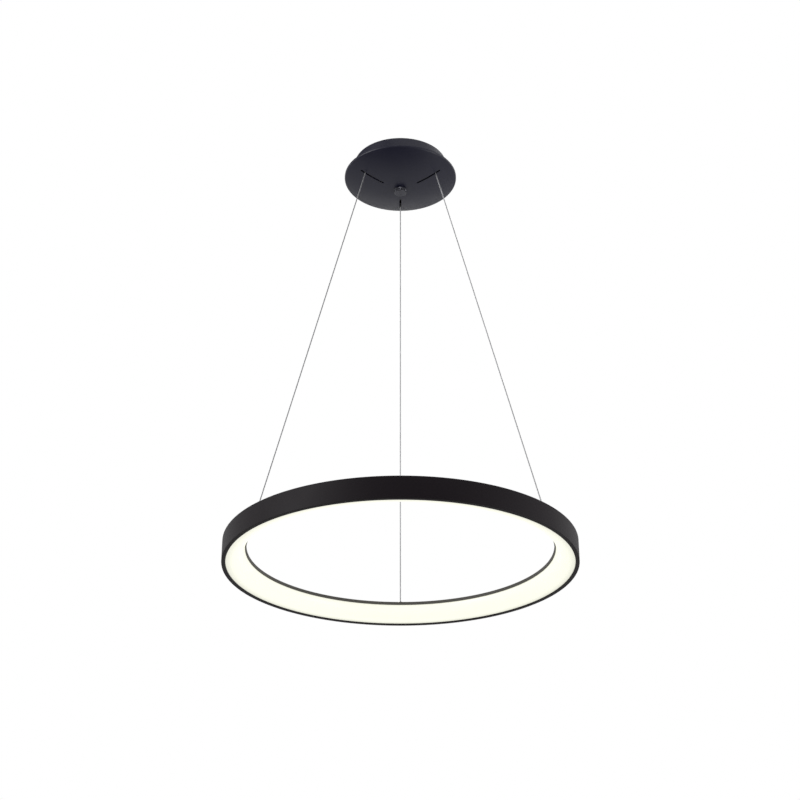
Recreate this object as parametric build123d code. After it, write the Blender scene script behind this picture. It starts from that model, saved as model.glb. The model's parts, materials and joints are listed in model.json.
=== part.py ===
from build123d import *
import math
import os

# Ring pendant lamp. Millimetres, +Z up. The origin is on the ceiling, at the canopy's centre.

# Ring profile
RING_R = 290.0
RING_H = 36.0
RING_WIDTH = 39.35
RING_WALL = 2.0
WALL_PROUD = 4.8
WEB_T = 2.5
LIP_DEPTH = 5.2
LIP_T = 2.35
FLANGE_W = 6.6
FLANGE_T = 2.0
RING_EDGE = 0.4

# Height of the whole lamp, from the ceiling to the ring's lower edge
DROP = 796.0

# Diffuser
DIFFUSER_T = 2.0
DIFFUSER_BEND_R = 23.5
DIFFUSER_OVERLAP = 2.4

# Light source
BOARD_COUNT = 4
BOARD_GAP_DEG = 4.0
BOARD_W = 13.5
BOARD_T = 1.6
BOARD_EDGE_GAP = 2.0
CHIPS_PER_BOARD = 30
CHIP_L = 3.5
CHIP_W = 2.8
CHIP_H = 0.8
RIVETS_PER_BOARD = 3
LINK_SPAN_DEG = 8.0
LINK_W = 3.2
LINK_T = 0.6
LINK_EDGE = 0.6
REFLECTOR_T = 0.6

# Suspension
WIRE_AZIMUTHS_DEG = (90.0, 210.0, 330.0)
FED_WIRE_COUNT = 2
WIRE_R = 1.0
WIRE_EXIT_R = 74.0
WIRE_TAIL = 2.0

# Wire anchor in the ring's web
ANCHOR_INSET = 11.0
ANCHOR_NECK_R = 4.5
ANCHOR_FLANGE_R = 6.0
ANCHOR_FLANGE_T = 1.8
ANCHOR_CAP_T = 1.6
ANCHOR_HOLE_R = 2.4
ANCHOR_SINK = 1.0
ANCHOR_NUT_AF = 12.0
ANCHOR_NUT_T = 4.0
ANCHOR_THREAD_OVER = 1.0
ANCHOR_BUSH_T = 1.2
ANCHOR_BUSH_WALL = 1.0
ANCHOR_BUSH_LEDGE = 1.5
FERRULE_R = 3.0
FERRULE_WIRE_PAST = 2.0

# Canopy
PAN_R = 85.0
PAN_PLATE_T = 1.5
PAN_WALL = 1.2
PAN_GAP = 0.6
RIM_DEPTH = 32.0
COVER_R = 103.0
COVER_SAG = 22.0
COVER_T = 1.2
COVER_BAND = 4.0
COVER_EDGE = 1.5
SLOT_IN_R = 35.0
SLOT_OUT_R = 83.5
SLOT_W = 3.4

# Fixing to the ceiling
SCREW_SLOT_SPACING = 124.0
SCREW_SLOT_W = 5.0
SCREW_SLOT_L = 14.0
ENTRY_X = 38.0
ENTRY_Y = 32.0
ENTRY_BORE_R = 4.0
GROMMET_WALL = 2.6
GROMMET_LEDGE = 2.0
GROMMET_FLANGE_T = 2.0

# Centre stud and thumb nut
STUD_R = 3.0
STUD_NUT_AF = 10.0
STUD_NUT_T = 5.0
SPACER_R = 5.0
NUT_R = 11.0
NUT_H = 8.0
NUT_CHAMFER = 0.8
NUT_FLOOR = 2.2
NUT_DOME_GAP = 0.2
WASHER_R = 8.0
WASHER_T = 0.9

# Wire gripper, measured upwards along the wire from the dome
TIP_GAP = 8.0
PLUNGER_OUT = 4.0
PLUNGER_TRAVEL = 2.5
PLUNGER_STEM_R = 2.1
PLUNGER_HEAD_R = 3.2
PLUNGER_HEAD_T = 2.0
SPRING_PACKED = 5.5
GRIPPER_R = 5.0
GRIPPER_LIP = 1.6
GRIPPER_CROWN = 4.0
GRIPPER_NECK_R = 4.0
GRIPPER_NUT_AF = 12.0
GRIPPER_NUT_T = 3.0
GRIPPER_THREAD_OVER = 1.4
BUSH_FLANGE_R = 6.5
BUSH_FLANGE_T = 1.0
BUSH_WALL = 1.0
BUSH_WASHER_T = 0.8
LUG_R = 5.8
LUG_T = 0.8
LUG_TAIL = 8.0
LUG_TAIL_W = 4.0

# Bracket
BRACKET_T = 1.5
BRACKET_W = 16.0
BRACKET_FOOT = 12.0
TAB_IN = 10.0
TAB_OUT = 9.0
RIVET_R = 1.5
RIVET_HEAD_R = 2.8
RIVET_HEAD_T = 1.2
RIVET_PITCH = 9.0

# Driver
DRIVER_L = 60.0
DRIVER_W = 42.0
DRIVER_H = 20.0
DRIVER_WALL = 1.5
DRIVER_GAP = 5.8
DRIVER_POST_R = 3.0
DRIVER_EAR = 8.0
DRIVER_EAR_W = 10.0
DRIVER_EAR_T = 1.5
DRIVER_BOARD_T = 1.6
TRANSFORMER = (20.0, 18.0, 10.0)
TRANSFORMER_X = 6.0
CAPACITOR_R = 4.0
CAPACITOR_H = 10.0
CAPACITOR_X = -12.0
CAPACITOR_PITCH = 12.0

# Terminal block
BLOCK_L = 36.0
BLOCK_W = 18.0
BLOCK_H = 14.0
BLOCK_AZIMUTH_DEG = 143.45
BLOCK_GAP = 11.6
BLOCK_PITCH = 12.0
BLOCK_WELL_R = 2.4
BLOCK_WELL_DEPTH = 8.0
BLOCK_SCREW_R = 2.0
BLOCK_SCREW_H = 5.0

# Small screws and leads
SCREW_R = 1.5
SCREW_HEAD_R = 2.7
SCREW_HEAD_T = 1.6
EARTH_AZIMUTH_DEG = 163.6
EARTH_GAP = 13.0
EARTH_R = 2.0
EARTH_HEAD_R = 4.0
EARTH_HEAD_T = 2.6
LEAD_R = 0.9
LEAD_OUT = 8.0
LEAD_PITCH = 6.0
FEED_LEAD_R = 0.6
FEED_OUT = 7.0
FEED_REACH = 16.0
FEED_DIP = 4.0

# Clearances
FIT = 0.1
RUN = 0.3

os.makedirs("parts", exist_ok=True)


def save(name, *solids):
    """One node: its solid, or its group of separate solids."""
    shape = solids[0] if len(solids) == 1 else Compound(children=list(solids))
    export_step(shape, f"parts/{name}.step")


def turned(points):
    """Solid of revolution about Z from a closed outline of (radius, height) corners."""
    return revolve(Plane.XZ * make_face(Polyline(*points, close=True)), Axis.Z)


def rod(radius, low, high):
    return Pos(0, 0, (low + high) / 2) * Cylinder(radius, high - low)


def tube(outer, inner, low, high):
    return turned([(inner, low), (outer, low), (outer, high), (inner, high)])


def block(low, high):
    """Box between two opposite corners."""
    size = [b - a for a, b in zip(low, high)]
    centre = [(a + b) / 2 for a, b in zip(low, high)]
    return Pos(*centre) * Box(*size)


def hexagon(across_flats, hole, low, high):
    """Hexagon nut about Z."""
    blank = extrude(RegularPolygon(across_flats / math.sqrt(3), 6), high - low)
    return Pos(0, 0, low) * blank - rod(hole, low, high)


def arc_bar(inner, outer, low, high, start, sweep_deg):
    """Part of a flat ring, from the angle start and over sweep_deg."""
    section = make_face(Polyline((inner, low), (outer, low), (outer, high), (inner, high), close=True))
    return Rot(0, 0, start) * revolve(Plane.XZ * section, Axis.Z, sweep_deg)


def lead(points, radius):
    """Round lead along runs joined by arcs as large as the runs allow."""
    spots = [Vector(*p) for p in points]
    radii = []
    for before, here, after in zip(spots, spots[1:], spots[2:]):
        first = here - before
        second = after - here
        turn = math.radians(first.get_angle(second))
        radii.append(0.45 * min(first.length, second.length) / math.tan(turn / 2))
    path = FilletPolyline(*points, radius=radii)
    section = Plane(origin=path @ 0, z_dir=path % 0) * Circle(radius)
    return sweep(section, path=path)


def polar(radius, azimuth, height):
    angle = math.radians(azimuth)
    return (radius * math.cos(angle), radius * math.sin(angle), height)


# Levels of the ring
ring_low = -DROP
wall_top = ring_low + RING_H
web_top = wall_top - WALL_PROUD
web_low = web_top - WEB_T
wall_in = RING_R - RING_WALL
flange_in = RING_R - FLANGE_W
flange_top = ring_low + FLANGE_T
lip_r = RING_R - RING_WIDTH
lip_back = lip_r + LIP_T
lip_low = web_top - LIP_DEPTH
anchor_r = lip_back + ANCHOR_INSET

# Dome of the cover: z = dome_centre - sqrt(dome_r^2 - r^2)
dome_r = (COVER_R ** 2 + COVER_SAG ** 2) / (2 * COVER_SAG)
dome_centre = dome_r - RIM_DEPTH - COVER_SAG


def dome(radius, inset=0.0):
    """Height of the cover's outer face at a radius, or of its inner face with the inset of its wall."""
    return dome_centre - math.sqrt((dome_r - inset) ** 2 - radius ** 2)


apex = dome(0)
apex_in = dome(0, COVER_T)

# Line of a wire, in the plane through its azimuth: from the dome down to the middle of its ferrule
anchor_top = web_top + ANCHOR_BUSH_T + ANCHOR_FLANGE_T
seat_drop = math.sqrt(FERRULE_R ** 2 - ANCHOR_HOLE_R ** 2)
ferrule_z = anchor_top - ANCHOR_CAP_T - seat_drop - FIT
wire_run = anchor_r - WIRE_EXIT_R
wire_fall = dome(WIRE_EXIT_R) - ferrule_z
wire_len = math.hypot(wire_run, wire_fall)
lean_sin = wire_run / wire_len
lean_cos = wire_fall / wire_len

# Places along the wire, upwards from the dome
tip_at = TIP_GAP
body_at = tip_at + PLUNGER_OUT
chamber_low = body_at + GRIPPER_LIP
head_low = chamber_low + FIT
head_high = head_low + PLUNGER_HEAD_T
chamber_high = head_high + RUN + PLUNGER_TRAVEL + SPRING_PACKED
bush_at = chamber_high + GRIPPER_CROWN
tab_at = bush_at + BUSH_FLANGE_T
washer_at = tab_at + BRACKET_T
lug_at = washer_at + BUSH_WASHER_T
neck_top = lug_at + LUG_T + GRIPPER_NUT_T + GRIPPER_THREAD_OVER
tail_top = neck_top + WIRE_TAIL
wire_hole_r = WIRE_R + RUN

# The last wires in the list carry the current
first_fed = len(WIRE_AZIMUTHS_DEG) - FED_WIRE_COUNT


def wire_frame(azimuth):
    """Frame on the dome where a wire leaves it: Z up along the wire, X sideways."""
    angle = math.radians(azimuth)
    radial = Vector(math.cos(angle), math.sin(angle), 0)
    sideways = Vector(-math.sin(angle), math.cos(angle), 0)
    upward = radial * -lean_sin + Vector(0, 0, lean_cos)
    origin = Vector(*polar(WIRE_EXIT_R, azimuth, dome(WIRE_EXIT_R)))
    return Plane(origin=origin, x_dir=sideways, z_dir=upward)


def along_wire(distance):
    """Radius and height of a point of the wire, upwards from the dome."""
    return WIRE_EXIT_R - distance * lean_sin, dome(WIRE_EXIT_R) + distance * lean_cos


# Ring housing
housing_outline = Polyline(
    (flange_in, ring_low),
    (RING_R, ring_low),
    (RING_R, wall_top),
    (wall_in, wall_top),
    (wall_in, web_top),
    (lip_r, web_top),
    (lip_r, lip_low),
    (lip_back, lip_low),
    (lip_back, web_low),
    (wall_in, web_low),
    (wall_in, flange_top),
    (flange_in, flange_top),
    close=True,
)
housing_face = make_face(housing_outline)
outer_corners = [v for v in housing_face.vertices() if v.X > RING_R - FIT or abs(v.X - lip_r) < FIT]
housing_face = fillet(outer_corners, RING_EDGE)
ring_housing = revolve(Plane.XZ * housing_face, Axis.Z)
bush_neck_r = ANCHOR_NECK_R + FIT + ANCHOR_BUSH_WALL
for azimuth in WIRE_AZIMUTHS_DEG:
    ring_housing -= Pos(*polar(anchor_r, azimuth, 0)) * rod(bush_neck_r + FIT, web_low, web_top)

# Light boards under the web, their chips, rivets and links
board_out = wall_in - BOARD_EDGE_GAP
board_in = board_out - BOARD_W
board_low = web_low - BOARD_T
chip_r = (board_in + board_out) / 2
board_step = 360.0 / BOARD_COUNT
board_sweep = board_step - BOARD_GAP_DEG
rivet_r_place = board_in + RIVET_HEAD_R + FIT
rivet_top = web_top - WEB_T / 4
chips = []
board_rivets = []
links = []
for index in range(BOARD_COUNT):
    start = index * board_step + BOARD_GAP_DEG / 2
    board = arc_bar(board_in, board_out, board_low, web_low, start, board_sweep)
    for count in range(RIVETS_PER_BOARD):
        angle = start + board_sweep * (count + 0.5) / RIVETS_PER_BOARD
        place = Pos(*polar(rivet_r_place, angle, 0))
        hole = place * rod(RIVET_R + FIT, board_low, rivet_top + FIT)
        board -= hole
        ring_housing -= hole
        shank = rod(RIVET_R, board_low, rivet_top)
        head = rod(RIVET_HEAD_R, board_low - RIVET_HEAD_T, board_low)
        board_rivets.append((place * (shank + head)).solid())
    save(f"led_board_{index + 1}", board)
    for count in range(CHIPS_PER_BOARD):
        angle = start + board_sweep * (count + 0.5) / CHIPS_PER_BOARD
        chip = Pos(chip_r, 0, board_low - CHIP_H / 2) * Box(CHIP_W, CHIP_L, CHIP_H)
        chips.append((Rot(0, 0, angle) * chip).solid())
    link_out = board_out - LINK_EDGE
    link_start = index * board_step - LINK_SPAN_DEG / 2
    link = arc_bar(link_out - LINK_W, link_out, board_low - LINK_T, board_low, link_start, LINK_SPAN_DEG)
    links.append(link.solid())
save("ring_housing", ring_housing)
save("led_chips", *chips)
save("board_rivets", *board_rivets)
save("board_links", *links)

# Diffuser: flat on the flange and rounded up at the inside, where its edge stands behind the lip
face_r = lip_back + FIT
bend_r = face_r + DIFFUSER_BEND_R
flat_low = flange_top
flat_high = flat_low + DIFFUSER_T
bend_z = flat_low + DIFFUSER_BEND_R
bend_in = DIFFUSER_BEND_R - DIFFUSER_T
ledge_r = wall_in - RUN
edge_z = lip_low + DIFFUSER_OVERLAP
diag = math.sqrt(0.5)
diffuser_outline = [
    Polyline(
        (bend_r, flat_low),
        (ledge_r, flat_low),
        (ledge_r, flat_high),
        (bend_r, flat_high),
    ),
    ThreePointArc(
        (bend_r, flat_high),
        (bend_r - bend_in * diag, bend_z - bend_in * diag),
        (bend_r - bend_in, bend_z),
    ),
    Polyline(
        (bend_r - bend_in, bend_z),
        (bend_r - bend_in, edge_z),
        (face_r, edge_z),
        (face_r, bend_z),
    ),
    ThreePointArc(
        (face_r, bend_z),
        (bend_r - DIFFUSER_BEND_R * diag, bend_z - DIFFUSER_BEND_R * diag),
        (bend_r, flat_low),
    ),
]
diffuser = revolve(Plane.XZ * make_face(Curve() + diffuser_outline), Axis.Z)
save("diffuser", diffuser)

# Reflector band on the inside of the outer wall
reflector_out = wall_in - FIT
save("reflector_band", tube(reflector_out, reflector_out - REFLECTOR_T, flat_high + RUN, board_low - RUN))

# Wire anchors, bushes, nuts and ferrules in the ring
neck_low = web_low - ANCHOR_BUSH_T - ANCHOR_NUT_T - ANCHOR_THREAD_OVER
cup_r = FERRULE_R + RUN
hole_low = anchor_top - ANCHOR_CAP_T
anchor_shape = turned(
    [
        (ANCHOR_HOLE_R, hole_low),
        (cup_r, hole_low),
        (cup_r, neck_low),
        (ANCHOR_NECK_R, neck_low),
        (ANCHOR_NECK_R, anchor_top - ANCHOR_FLANGE_T),
        (ANCHOR_FLANGE_R, anchor_top - ANCHOR_FLANGE_T),
        (ANCHOR_FLANGE_R, anchor_top),
        (ANCHOR_HOLE_R + ANCHOR_SINK, anchor_top),
        (ANCHOR_HOLE_R, anchor_top - ANCHOR_SINK),
    ]
)
bush_hole_r = ANCHOR_NECK_R + FIT
bush_flange_r = bush_neck_r + ANCHOR_BUSH_LEDGE
bush_shape = tube(bush_flange_r, bush_hole_r, web_top, web_top + ANCHOR_BUSH_T)
bush_shape += tube(bush_neck_r, bush_hole_r, web_low, web_top)
washer_shape = tube(bush_flange_r, bush_hole_r, web_low - ANCHOR_BUSH_T, web_low)
anchor_nut_high = web_low - ANCHOR_BUSH_T
anchor_nut_low = anchor_nut_high - ANCHOR_NUT_T
anchor_nut_shape = hexagon(ANCHOR_NUT_AF, ANCHOR_NECK_R + FIT, anchor_nut_low, anchor_nut_high)
anchor_nuts = []
anchor_bushes = []
ferrules = []
feed_leads = []
for index, azimuth in enumerate(WIRE_AZIMUTHS_DEG):
    place = Rot(0, 0, azimuth) * Pos(anchor_r, 0, 0)
    save(f"anchor_{index + 1}", place * anchor_shape)
    anchor_nuts.append((place * anchor_nut_shape).solid())
    anchor_bushes.append((place * bush_shape).solid())
    anchor_bushes.append((place * washer_shape).solid())
    ball = Pos(0, 0, -wire_len) * Sphere(FERRULE_R) - rod(wire_hole_r, -wire_len - 2 * FERRULE_R, 0)
    ferrules.append((wire_frame(azimuth).location * ball).solid())
    if index >= first_fed:
        nut_side = ANCHOR_NUT_AF / math.sqrt(3) + FIT
        level = (anchor_nut_low + anchor_nut_high) / 2
        lead_r = board_in + FEED_LEAD_R + FIT
        route = [
            (anchor_r, nut_side, level),
            (anchor_r, nut_side + FEED_OUT, level),
            (lead_r, nut_side + FEED_REACH, level - FEED_DIP),
            (lead_r, nut_side + FEED_REACH, board_low),
        ]
        feed_leads.append((Rot(0, 0, azimuth) * lead(route, FEED_LEAD_R)).solid())
save("anchor_nuts", *anchor_nuts)
save("anchor_bushes", *anchor_bushes)
save("wire_ferrules", *ferrules)
save("feed_leads", *feed_leads)

# Suspension wires, straight from their tails above the grippers to the ferrules
for index, azimuth in enumerate(WIRE_AZIMUTHS_DEG):
    wire = rod(WIRE_R, -wire_len - FERRULE_WIRE_PAST, tail_top)
    save(f"suspension_wire_{index + 1}", wire_frame(azimuth).location * wire)

# Wire grippers: body, sprung plunger, bush, lug and nut, all along the wire
gripper_shape = turned(
    [
        (wire_hole_r, neck_top),
        (wire_hole_r, chamber_high),
        (PLUNGER_HEAD_R + RUN, chamber_high),
        (PLUNGER_HEAD_R + RUN, chamber_low),
        (PLUNGER_STEM_R + RUN, chamber_low),
        (PLUNGER_STEM_R + RUN, body_at),
        (GRIPPER_R, body_at),
        (GRIPPER_R, bush_at),
        (GRIPPER_NECK_R, bush_at),
        (GRIPPER_NECK_R, neck_top),
    ]
)
plunger_shape = turned(
    [
        (wire_hole_r, tip_at),
        (PLUNGER_STEM_R, tip_at),
        (PLUNGER_STEM_R, head_low),
        (PLUNGER_HEAD_R, head_low),
        (PLUNGER_HEAD_R, head_high),
        (wire_hole_r, head_high),
    ]
)
spring_shape = tube(PLUNGER_HEAD_R, wire_hole_r + RUN, head_high + RUN, chamber_high - FIT)
grip_hole_r = GRIPPER_NECK_R + FIT
grip_bush_r = grip_hole_r + BUSH_WALL
grip_bush = tube(BUSH_FLANGE_R, grip_hole_r, bush_at, tab_at)
grip_bush += tube(grip_bush_r, grip_hole_r, tab_at, washer_at)
grip_washer = tube(BUSH_FLANGE_R, grip_hole_r, washer_at, lug_at)
gripper_nuts = []
gripper_bushes = []
lugs = []
for index, azimuth in enumerate(WIRE_AZIMUTHS_DEG):
    place = wire_frame(azimuth).location
    save(f"gripper_body_{index + 1}", place * gripper_shape)
    save(f"gripper_plunger_{index + 1}", place * plunger_shape)
    save(f"gripper_spring_{index + 1}", place * spring_shape)
    gripper_bushes.append((place * grip_bush).solid())
    gripper_bushes.append((place * grip_washer).solid())
    nut_at = lug_at + (LUG_T if index >= first_fed else 0)
    lock_nut = hexagon(GRIPPER_NUT_AF, grip_hole_r, nut_at, nut_at + GRIPPER_NUT_T)
    gripper_nuts.append((place * lock_nut).solid())
    if index >= first_fed:
        side = 1 if index == first_fed else -1
        tail = block((0, -LUG_TAIL_W / 2, lug_at), (LUG_R + LUG_TAIL, LUG_TAIL_W / 2, lug_at + LUG_T))
        eye = rod(LUG_R, lug_at, lug_at + LUG_T) + (tail if side == 1 else mirror(tail, Plane.YZ))
        lugs.append((place * (eye - rod(grip_hole_r, lug_at, lug_at + LUG_T))).solid())
save("gripper_nuts", *gripper_nuts)
save("gripper_bushes", *gripper_bushes)
save("output_lugs", *lugs)

# Brackets: a foot under the pan's plate, a leg and a tab square to the wire
plate_low = -PAN_PLATE_T
pan_in = PAN_R - PAN_WALL
tab_r, tab_z = along_wire(tab_at)
leg_r = tab_r - TAB_IN * lean_cos
leg_low = tab_z - TAB_IN * lean_sin
foot_low = plate_low - BRACKET_T
half_w = BRACKET_W / 2
bracket_foot = block((leg_r - BRACKET_FOOT, -half_w, foot_low), (leg_r + BRACKET_T, half_w, plate_low))
bracket_leg = block((leg_r, -half_w, leg_low), (leg_r + BRACKET_T, half_w, plate_low))
tab_blank = block((-half_w, -TAB_OUT, tab_at), (half_w, TAB_IN, washer_at))
foot_mid = leg_r - BRACKET_FOOT / 2
bracket_rivets = []
rivet_holes = []
for index, azimuth in enumerate(WIRE_AZIMUTHS_DEG):
    turn = Rot(0, 0, azimuth)
    tab = tab_blank - rod(grip_bush_r + FIT, tab_at, washer_at)
    bracket = turn * (bracket_foot + bracket_leg) + wire_frame(azimuth).location * tab
    for side in (-0.5, 0.5):
        place = turn * Pos(foot_mid, side * RIVET_PITCH, 0)
        hole = place * rod(RIVET_R + FIT, foot_low, 0)
        bracket -= hole
        rivet_holes.append(hole)
        rivet = rod(RIVET_R, foot_low, 0) + rod(RIVET_HEAD_R, foot_low - RIVET_HEAD_T, foot_low)
        bracket_rivets.append((place * rivet).solid())
    save(f"wire_bracket_{index + 1}", bracket)
save("bracket_rivets", *bracket_rivets)

# Driver: case against the plate, lid below, board and parts inside
half_l = DRIVER_L / 2
driver_low_y = -math.sqrt((pan_in - DRIVER_GAP) ** 2 - half_l ** 2)
driver_high_y = driver_low_y + DRIVER_W
driver_y = (driver_low_y + driver_high_y) / 2
case_low = plate_low - DRIVER_H
cavity_top = plate_low - DRIVER_WALL
case = block((-half_l, driver_low_y, case_low), (half_l, driver_high_y, plate_low))
case -= block(
    (-half_l + DRIVER_WALL, driver_low_y + DRIVER_WALL, case_low),
    (half_l - DRIVER_WALL, driver_high_y - DRIVER_WALL, cavity_top),
)
ear_low = plate_low - DRIVER_EAR_T
ear_x = half_l + DRIVER_EAR / 2
pan_screw_places = []
for side in (-1, 1):
    edges = sorted((side * half_l, side * (half_l + DRIVER_EAR)))
    ear = block(
        (edges[0], driver_y - DRIVER_EAR_W / 2, ear_low),
        (edges[1], driver_y + DRIVER_EAR_W / 2, plate_low),
    )
    case += ear - Pos(side * ear_x, driver_y, 0) * rod(SCREW_R + FIT, ear_low, plate_low)
    pan_screw_places.append((side * ear_x, driver_y, ear_low))
post_in = DRIVER_WALL / 2 + DRIVER_POST_R
post_x = half_l - post_in
post_y = DRIVER_W / 2 - post_in
lid_low = case_low - DRIVER_WALL
lid = block((-half_l, driver_low_y, lid_low), (half_l, driver_high_y, case_low))
driver_screws = []
for sign_x in (-1, 1):
    for sign_y in (-1, 1):
        place = Pos(sign_x * post_x, driver_y + sign_y * post_y, 0)
        hole = place * rod(SCREW_R + FIT, lid_low, cavity_top)
        case += place * rod(DRIVER_POST_R, case_low, cavity_top)
        case -= hole
        lid -= hole
        screw = rod(SCREW_R, lid_low, case_low + DRIVER_H / 2)
        screw += rod(SCREW_HEAD_R, lid_low - SCREW_HEAD_T, lid_low)
        driver_screws.append((place * screw).solid())
save("driver_case", case)
save("driver_lid", lid)
save("driver_screws", *driver_screws)
circuit_half_l = post_x - DRIVER_POST_R - FIT
circuit_low = cavity_top - DRIVER_BOARD_T
circuit = block(
    (-circuit_half_l, driver_low_y + DRIVER_WALL + FIT, circuit_low),
    (circuit_half_l, driver_high_y - DRIVER_WALL - FIT, cavity_top),
)
save("driver_board", circuit)
core_l, core_w, core_h = TRANSFORMER
core = block(
    (TRANSFORMER_X - core_l / 2, driver_y - core_w / 2, circuit_low - core_h),
    (TRANSFORMER_X + core_l / 2, driver_y + core_w / 2, circuit_low),
)
save("driver_transformer", core)
capacitors = []
for side in (-0.5, 0.5):
    can = rod(CAPACITOR_R, circuit_low - CAPACITOR_H, circuit_low)
    capacitors.append((Pos(CAPACITOR_X, driver_y + side * CAPACITOR_PITCH, 0) * can).solid())
save("driver_capacitors", *capacitors)

# Terminal block with its clamping screws
block_low = plate_low - BLOCK_H
block_end, block_back, _ = polar(pan_in - BLOCK_GAP, BLOCK_AZIMUTH_DEG, 0)
block_x = block_end + BLOCK_L / 2
block_y = block_back - BLOCK_W / 2
terminal = block(
    (block_end, block_back - BLOCK_W, block_low),
    (block_end + BLOCK_L, block_back, plate_low),
)
well_top = block_low + BLOCK_WELL_DEPTH
terminal_screws = []
for count in (-1, 0, 1):
    place = Pos(block_x + count * BLOCK_PITCH, block_y, 0)
    terminal -= place * rod(BLOCK_WELL_R, block_low, well_top)
    terminal_screws.append((place * rod(BLOCK_SCREW_R, well_top - BLOCK_SCREW_H, well_top)).solid())
for side in (-0.5, 0.5):
    spot = (block_x + side * BLOCK_PITCH, block_y, block_low)
    terminal -= Pos(spot[0], spot[1], 0) * rod(SCREW_R + FIT, block_low, plate_low)
    pan_screw_places.append(spot)
save("terminal_block", terminal)
save("terminal_screws", *terminal_screws)

# Screws that hold the driver and the block to the plate
pan_screws = []
screw_holes = []
for x, y, under in pan_screw_places:
    screw = rod(SCREW_R, under, 0) + rod(SCREW_HEAD_R, under - SCREW_HEAD_T, under)
    pan_screws.append((Pos(x, y, 0) * screw).solid())
    screw_holes.append(Pos(x, y, 0) * rod(SCREW_R + FIT, plate_low, 0))
save("pan_screws", *pan_screws)
earth = rod(EARTH_R, plate_low, 0) + rod(EARTH_HEAD_R, plate_low - EARTH_HEAD_T, plate_low)
earth_x, earth_y, _ = polar(pan_in - EARTH_GAP, EARTH_AZIMUTH_DEG, 0)
save("earth_screw", Pos(earth_x, earth_y, 0) * earth)
screw_holes.append(Pos(earth_x, earth_y, 0) * rod(EARTH_R + FIT, plate_low, 0))

# Leads inside the canopy
block_mid = plate_low - BLOCK_H / 2
driver_mid = plate_low - DRIVER_H / 2
block_side = block_back - BLOCK_W
mains_leads = []
for count in (0, 1):
    start_x = block_x + count * BLOCK_PITCH
    end_x = -half_l / 2 + count * LEAD_PITCH
    route = [
        (start_x, block_side, block_mid),
        (start_x, block_side - LEAD_OUT, block_mid),
        (end_x, driver_high_y + LEAD_OUT, driver_mid),
        (end_x, driver_high_y, driver_mid),
    ]
    mains_leads.append(lead(route, LEAD_R).solid())
earth_level = plate_low - EARTH_HEAD_T / 2
earth_route = [
    (block_end, block_y, block_mid),
    (block_end - LEAD_OUT / 2, block_y, block_mid),
    (earth_x, earth_y + EARTH_HEAD_R + LEAD_OUT / 2, earth_level),
    (earth_x, earth_y + EARTH_HEAD_R + FIT, earth_level),
]
mains_leads.append(lead(earth_route, LEAD_R).solid())
save("mains_leads", *mains_leads)
output_leads = []
lug_mid = lug_at + LUG_T / 2
lug_end = LUG_R + LUG_TAIL + FIT
fed_frame = wire_frame(WIRE_AZIMUTHS_DEG[first_fed])
output_route = [
    tuple(fed_frame.from_local_coords(Vector(lug_end, 0, lug_mid))),
    tuple(fed_frame.from_local_coords(Vector(lug_end + LEAD_OUT / 2, 0, lug_mid))),
    (-half_l - LEAD_OUT / 2, driver_low_y + LEAD_OUT, driver_mid),
    (-half_l, driver_low_y + LEAD_OUT, driver_mid),
]
output_lead = lead(output_route, LEAD_R)
output_leads.append(output_lead.solid())
output_leads.append(mirror(output_lead, Plane.YZ).solid())
save("output_leads", *output_leads)

# Ceiling pan: plate with its holes, and a wall that comes down close to the cover
pan_low = dome(PAN_R, COVER_T) + PAN_GAP
pan = turned(
    [
        (0, 0),
        (PAN_R, 0),
        (PAN_R, pan_low),
        (pan_in, pan_low),
        (pan_in, plate_low),
        (0, plate_low),
    ]
)
pan -= rod(STUD_R + FIT, plate_low, 0)
grommet_neck_r = ENTRY_BORE_R + GROMMET_WALL
pan -= Pos(ENTRY_X, ENTRY_Y, 0) * rod(grommet_neck_r + FIT, plate_low, 0)
for side in (-0.5, 0.5):
    slot = extrude(SlotOverall(SCREW_SLOT_L, SCREW_SLOT_W), -PAN_PLATE_T)
    pan -= Pos(side * SCREW_SLOT_SPACING, 0, 0) * slot
for hole in rivet_holes + screw_holes:
    pan -= hole
save("ceiling_pan", pan)
grommet = tube(grommet_neck_r, ENTRY_BORE_R, plate_low, 0)
grommet += tube(grommet_neck_r + GROMMET_LEDGE, ENTRY_BORE_R, plate_low - GROMMET_FLANGE_T, plate_low)
save("cable_grommet", Pos(ENTRY_X, ENTRY_Y, 0) * grommet)

# Centre stud, its lock nut and its spacer tube
nut_top = apex - NUT_DOME_GAP
nut_low = nut_top - NUT_H
bore_end = nut_low + NUT_FLOOR
stud_low = bore_end + RUN
spacer_top = plate_low - STUD_NUT_T - FIT
save("centre_stud", rod(STUD_R, stud_low, 0))
save("stud_nut", hexagon(STUD_NUT_AF, STUD_R + FIT, plate_low - STUD_NUT_T, plate_low))
save("centre_spacer", tube(SPACER_R, STUD_R + FIT, dome(SPACER_R, COVER_T) + RUN, spacer_top))

# Canopy cover: domed dish with an upright rim, a centre hole and three radial slots
inner_r = COVER_R - COVER_T
half_r = COVER_R / 2
cover_outline = [
    ThreePointArc((0, apex), (half_r, dome(half_r)), (COVER_R, -RIM_DEPTH)),
    Polyline(
        (COVER_R, -RIM_DEPTH),
        (COVER_R, -RIM_DEPTH + COVER_BAND),
        (inner_r, -RIM_DEPTH + COVER_BAND),
        (inner_r, dome(inner_r, COVER_T)),
    ),
    ThreePointArc((inner_r, dome(inner_r, COVER_T)), (half_r, dome(half_r, COVER_T)), (0, apex_in)),
    Line((0, apex_in), (0, apex)),
]
cover_face = make_face(Curve() + cover_outline)
rim_corner = [v for v in cover_face.vertices() if v.X > COVER_R - FIT and v.Y < FIT - RIM_DEPTH]
cover = revolve(Plane.XZ * fillet(rim_corner, COVER_EDGE), Axis.Z)
cover -= rod(STUD_R + RUN, apex, 0)
slot_blank = SlotOverall(SLOT_OUT_R - SLOT_IN_R, SLOT_W)
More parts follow.
